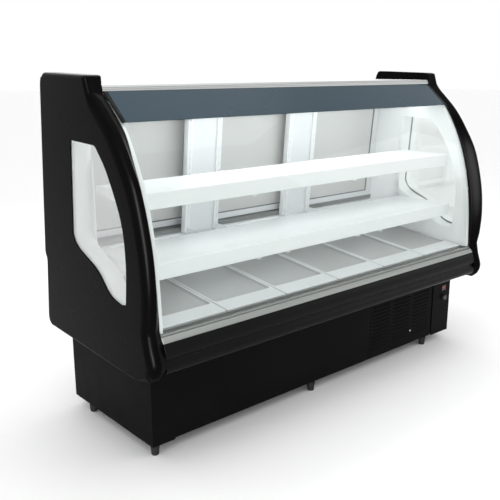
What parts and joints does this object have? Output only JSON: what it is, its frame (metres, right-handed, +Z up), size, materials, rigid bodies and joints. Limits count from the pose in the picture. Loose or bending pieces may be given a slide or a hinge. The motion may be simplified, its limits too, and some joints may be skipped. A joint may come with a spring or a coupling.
{
  "type": "refrigerated deli case",
  "caption": "Low refrigerated display case with a curved tilting front glass, two lit shelves over a sloping deck, glazed ends and sliding rear doors.",
  "frame": {"origin": "middle of the footprint, on the floor under the feet", "axes": "+X along the case, +Y from the glass front towards the service side, +Z up"},
  "size_m": [1.915, 0.7339, 1.305],
  "materials": {
    "black_abs": "satin moulded",
    "white_liner": "satin",
    "clear_glass": "clear",
    "front_glass": "clear",
    "door_panel": "satin opal",
    "white_frame": "satin",
    "slate_band": "gloss",
    "black_moulding": "satin moulded",
    "aluminium_trim": "satin anodised",
    "black_steel": "satin powder coat",
    "white_steel": "satin",
    "white_enamel": "satin",
    "pan_steel": "satin",
    "lamp": "diffusing",
    "bright_steel": "bright",
    "coil_fins": "mill",
    "galvanised": "galvanised",
    "motor_steel": "satin",
    "fan_blade": "matte",
    "compressor_black": "gloss",
    "gland_rubber": "matte",
    "red_switch": "gloss",
    "control_plastic": "satin",
    "foot_plastic": "matte"
  },
  "bodies": {
    "case": {"base_rear_panel": "black_steel", "base_side_left": "black_steel", "base_side_right": "black_steel", "base_tray": "black_steel", "bumper_rail": "black_moulding", "canopy_top": "white_steel", "compressor": "compressor_black", "condenser_coil": "coil_fins", "condenser_fan_motor": "motor_steel", "condenser_fan_shroud": "galvanised", "control_box": "black_steel", "cord_gland": "gland_rubber", "deck_pans": "pan_steel", "end_liner_left": "white_liner", "end_liner_right": "white_liner", "end_panel_left": "black_abs", "end_panel_right": "black_abs", "evaporator_coil": "coil_fins", "evaporator_fan_motors": "motor_steel", "evaporator_fan_plate": "galvanised", "front_panel": "black_steel", "glass_hinge_rod": "bright_steel", "grille_panel": "black_steel", "grille_screws": "bright_steel", "light_tubes": "lamp", "rear_lower_panel": "white_steel", "rear_posts": "white_steel", "rear_track_bottom": "aluminium_trim", "rear_track_top": "aluminium_trim", "shelf_brackets": "white_enamel", "shelf_middle": "white_enamel", "shelf_top": "white_enamel", "shelf_uprights": "white_enamel", "side_uprights": "white_enamel", "side_window_left": "clear_glass", "side_window_right": "clear_glass", "sill_trim": "aluminium_trim", "switch_frame": "control_plastic", "tank": "white_steel"},
    "front_glass": {"front_glass": "front_glass", "glass_band": "slate_band", "glass_end_caps": "black_moulding", "canopy_trim": "aluminium_trim"},
    "rear_door_left": {"rear_door_left_frame": "white_frame", "rear_door_left_glass": "door_panel"},
    "rear_door_middle": {"rear_door_middle_frame": "white_frame", "rear_door_middle_glass": "door_panel"},
    "rear_door_right": {"rear_door_right_frame": "white_frame", "rear_door_right_glass": "door_panel"},
    "condenser_fan": {"condenser_fan": "fan_blade"},
    "evaporator_fan_left": {"evaporator_fan_left": "fan_blade"},
    "evaporator_fan_right": {"evaporator_fan_right": "fan_blade"},
    "rocker_switch": {"rocker_switch": "red_switch"},
    "thermostat_knob": {"thermostat_knob": "control_plastic"},
    "foot_front_left": {"foot_front_left": "foot_plastic"},
    "foot_front_middle": {"foot_front_middle": "foot_plastic"},
    "foot_front_right": {"foot_front_right": "foot_plastic"},
    "foot_rear_left": {"foot_rear_left": "foot_plastic"},
    "foot_rear_middle": {"foot_rear_middle": "foot_plastic"},
    "foot_rear_right": {"foot_rear_right": "foot_plastic"}
  },
  "joints": [
    {"name": "front_glass_tilt", "type": "hinge", "parent": "case", "child": "front_glass", "pos_m": [0, -0.013, 1.255], "axis": [-1, 0, 0], "range_deg": [0, 60]},
    {"name": "rear_door_left_slide", "type": "slide", "parent": "case", "child": "rear_door_left", "axis": [1, 0, 0], "range_m": [0, 0.56]},
    {"name": "rear_door_middle_slide", "type": "slide", "parent": "case", "child": "rear_door_middle", "axis": [1, 0, 0], "range_m": [-0.56, 0.56]},
    {"name": "rear_door_right_slide", "type": "slide", "parent": "case", "child": "rear_door_right", "axis": [-1, 0, 0], "range_m": [0, 0.56]},
    {"name": "condenser_fan_spin", "type": "hinge", "parent": "case", "child": "condenser_fan", "pos_m": [0.5, -0.15, 0.1765], "axis": [0, 1, 0], "continuous": true},
    {"name": "evaporator_fan_left_spin", "type": "hinge", "parent": "case", "child": "evaporator_fan_left", "pos_m": [-0.26, 0.11, 0.432], "axis": [0, 1, 0], "continuous": true},
    {"name": "evaporator_fan_right_spin", "type": "hinge", "parent": "case", "child": "evaporator_fan_right", "pos_m": [0.26, 0.11, 0.432], "axis": [0, 1, 0], "continuous": true},
    {"name": "rocker_switch_tip", "type": "hinge", "parent": "case", "child": "rocker_switch", "pos_m": [0.832, -0.231, 0.27], "axis": [1, 0, 0], "range_deg": [-8, 8]},
    {"name": "thermostat_turn", "type": "hinge", "parent": "case", "child": "thermostat_knob", "pos_m": [0.832, -0.237, 0.222], "axis": [0, 1, 0], "range_deg": [0, 300]},
    {"name": "foot_front_left_turn", "type": "hinge", "parent": "case", "child": "foot_front_left", "pos_m": [-0.861, -0.214, 0], "axis": [0, 0, 1], "continuous": true},
    {"name": "foot_front_middle_turn", "type": "hinge", "parent": "case", "child": "foot_front_middle", "pos_m": [-0.077, -0.214, 0], "axis": [0, 0, 1], "continuous": true},
    {"name": "foot_front_right_turn", "type": "hinge", "parent": "case", "child": "foot_front_right", "pos_m": [0.707, -0.214, 0], "axis": [0, 0, 1], "continuous": true},
    {"name": "foot_rear_left_turn", "type": "hinge", "parent": "case", "child": "foot_rear_left", "pos_m": [-0.861, 0.221, 0], "axis": [0, 0, 1], "continuous": true},
    {"name": "foot_rear_middle_turn", "type": "hinge", "parent": "case", "child": "foot_rear_middle", "pos_m": [-0.077, 0.221, 0], "axis": [0, 0, 1], "continuous": true},
    {"name": "foot_rear_right_turn", "type": "hinge", "parent": "case", "child": "foot_rear_right", "pos_m": [0.707, 0.221, 0], "axis": [0, 0, 1], "continuous": true}
  ]
}
